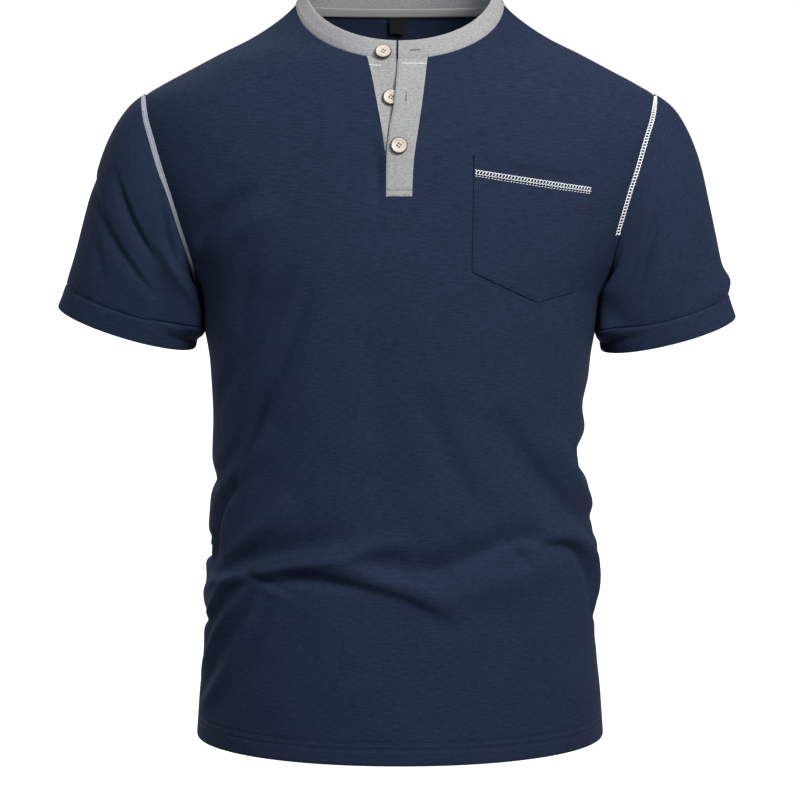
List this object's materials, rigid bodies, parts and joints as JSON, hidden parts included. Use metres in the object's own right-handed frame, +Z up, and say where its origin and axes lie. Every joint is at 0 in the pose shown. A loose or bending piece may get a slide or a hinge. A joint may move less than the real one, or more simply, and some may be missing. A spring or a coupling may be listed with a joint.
{
  "type": "henley shirt",
  "caption": "Short-sleeved jersey henley shirt with a band collar, a buttoned half placket and a patch pocket, filled out as worn.",
  "frame": {"origin": "in the middle of the neck, just above the points where the shoulder seams meet the collar band, where the wearer's shoulders hold the shirt", "axes": "+Z up, +X towards the wearer's left, and the chest faces -Y"},
  "size_m": [0.6418, 0.2524, 0.7104],
  "materials": {
    "navy_jersey": "matt knitted jersey",
    "grey_jersey": "matt melange jersey",
    "label_weave": "plain woven",
    "button_resin": "satin"
  },
  "bodies": {
    "root": {"front_panel": "navy_jersey", "back_panel": "navy_jersey", "sleeve_right": "navy_jersey", "sleeve_left": "navy_jersey", "chest_pocket": "navy_jersey", "collar_band": "grey_jersey", "placket_top": "grey_jersey", "placket_under": "grey_jersey", "neck_tape": "grey_jersey", "neck_label": "label_weave", "button_neck": "button_resin", "button_middle": "button_resin", "button_bottom": "button_resin"}
  },
  "joints": []
}
